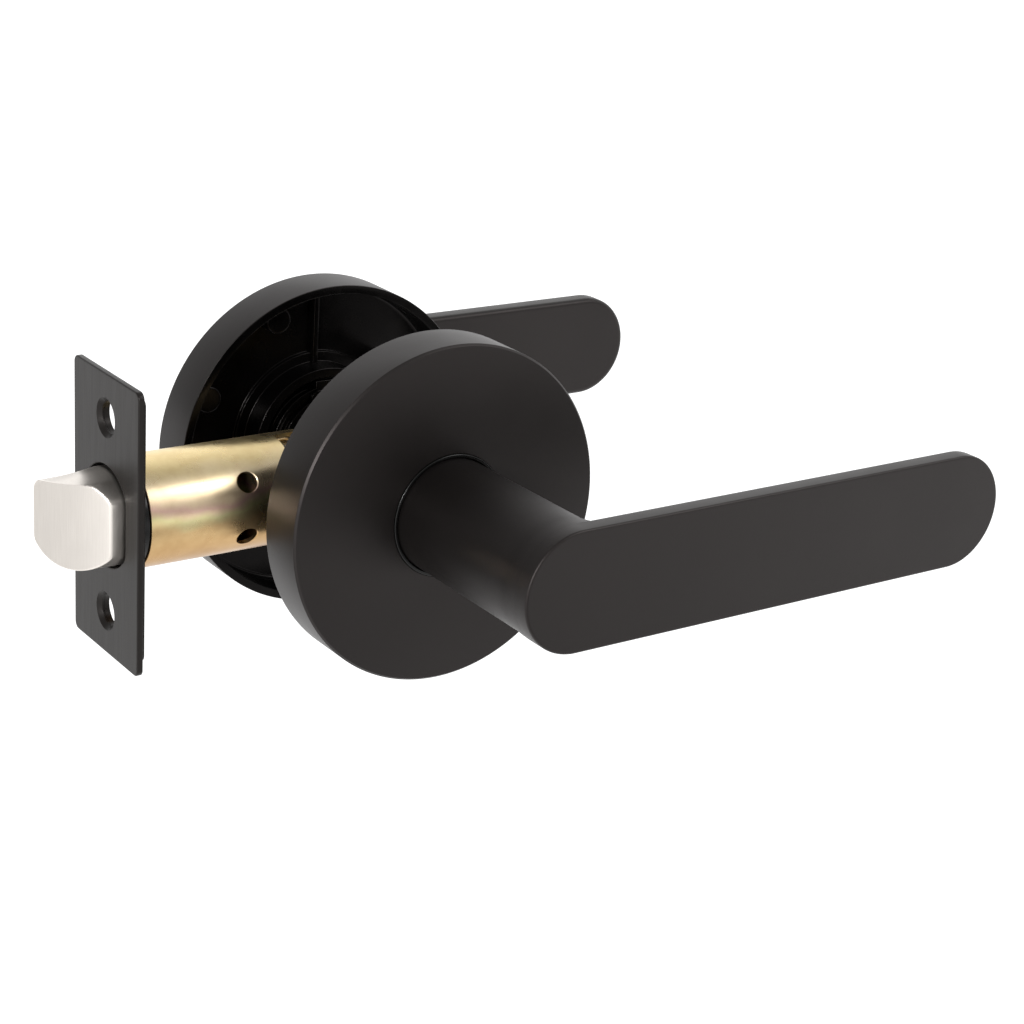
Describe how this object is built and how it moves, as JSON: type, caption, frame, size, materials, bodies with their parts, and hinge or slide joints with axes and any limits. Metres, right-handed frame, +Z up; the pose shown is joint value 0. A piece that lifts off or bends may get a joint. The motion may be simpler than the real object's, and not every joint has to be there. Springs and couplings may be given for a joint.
{
  "type": "lever handle lockset",
  "caption": "Passage lever lockset: straight pill-shaped levers on round roses, square spindle and a tubular spring latch with slanted bolt and rounded faceplate.",
  "frame": {"origin": "where the spindle axis crosses the latch axis, half way through the door", "axes": "+X along the latch away from the faceplate, towards the lever tips; +Y along the spindle towards the inside trim; +Z up"},
  "size_m": [0.1802, 0.133, 0.07],
  "materials": {
    "black_coat": "fine-grained matte black powder coat",
    "black_plate": "satin black plated steel",
    "black_plastic": "moulded, slightly glossy",
    "yellow_zinc": "yellow zinc-plated steel with a faint iridescence",
    "plain_steel": "bright zinc-plated steel",
    "black_steel": "black-oxide steel, slightly glossy",
    "spring_steel": "oiled spring wire and strip",
    "satin_nickel": "satin nickel"
  },
  "bodies": {
    "chassis": {"outside_rose": "black_coat", "outside_bush": "black_plastic", "outside_thrust_washer": "black_plastic", "outside_return_spring": "black_steel", "inside_rose": "black_coat", "inside_bush": "black_plastic", "inside_thrust_washer": "black_plastic", "inside_return_spring": "black_steel", "rose_posts": "black_steel", "rose_screws": "black_steel", "faceplate": "black_plate", "backing_plate": "black_plate", "tube_collar": "black_plastic", "latch_tube": "yellow_zinc", "case_plate_outside": "yellow_zinc", "case_plate_inside": "yellow_zinc", "case_rivets": "plain_steel", "spring_seat": "yellow_zinc"},
    "outside_handle": {"outside_lever": "black_coat", "outside_driver_plate": "black_steel", "outside_wave_washer": "black_steel", "outside_circlip": "black_steel", "outside_set_screw": "plain_steel"},
    "inside_handle": {"inside_lever": "black_coat", "inside_driver_plate": "black_steel", "inside_wave_washer": "black_steel", "inside_circlip": "black_steel", "inside_set_screw": "plain_steel"},
    "spindle_and_hub": {"spindle": "plain_steel", "latch_hub": "plain_steel"},
    "retractor_slide": {"retractor": "plain_steel"},
    "latchbolt": {"bolt": "satin_nickel", "bolt_tail": "plain_steel", "bolt_spring": "spring_steel"}
  },
  "joints": [
    {"name": "outside_lever_turn", "type": "hinge", "parent": "chassis", "child": "outside_handle", "pos_m": [0, 0, 0], "axis": [0, 1, 0], "range_deg": [0, 56], "stiffness_Nm_per_rad": 0.9, "springref_deg": -20.05},
    {"name": "inside_lever_turn", "type": "hinge", "parent": "chassis", "child": "inside_handle", "pos_m": [0, 0, 0], "axis": [0, 1, 0], "range_deg": [0, 56], "stiffness_Nm_per_rad": 0.9, "springref_deg": -20.05},
    {"name": "spindle_turn", "type": "hinge", "parent": "chassis", "child": "spindle_and_hub", "pos_m": [0, 0, 0], "axis": [0, 1, 0], "range_deg": [0, 56]},
    {"name": "retractor_pull", "type": "slide", "parent": "chassis", "child": "retractor_slide", "axis": [1, 0, 0], "range_m": [0, 0.01118]},
    {"name": "bolt_retract", "type": "slide", "parent": "chassis", "child": "latchbolt", "axis": [1, 0, 0], "range_m": [0, 0.01118], "stiffness_N_per_m": 150, "springref_m": -0.012, "deforming": ["bolt_spring"]}
  ],
  "couplings": [
    {"joint": "inside_lever_turn", "follows": "outside_lever_turn", "ratio": 1},
    {"joint": "spindle_turn", "follows": "outside_lever_turn", "ratio": 1},
    {"joint": "retractor_pull", "follows": "outside_lever_turn", "m_per_rad": 0.011428},
    {"joint": "bolt_retract", "follows": "outside_lever_turn", "m_per_rad": 0.011428}
  ]
}
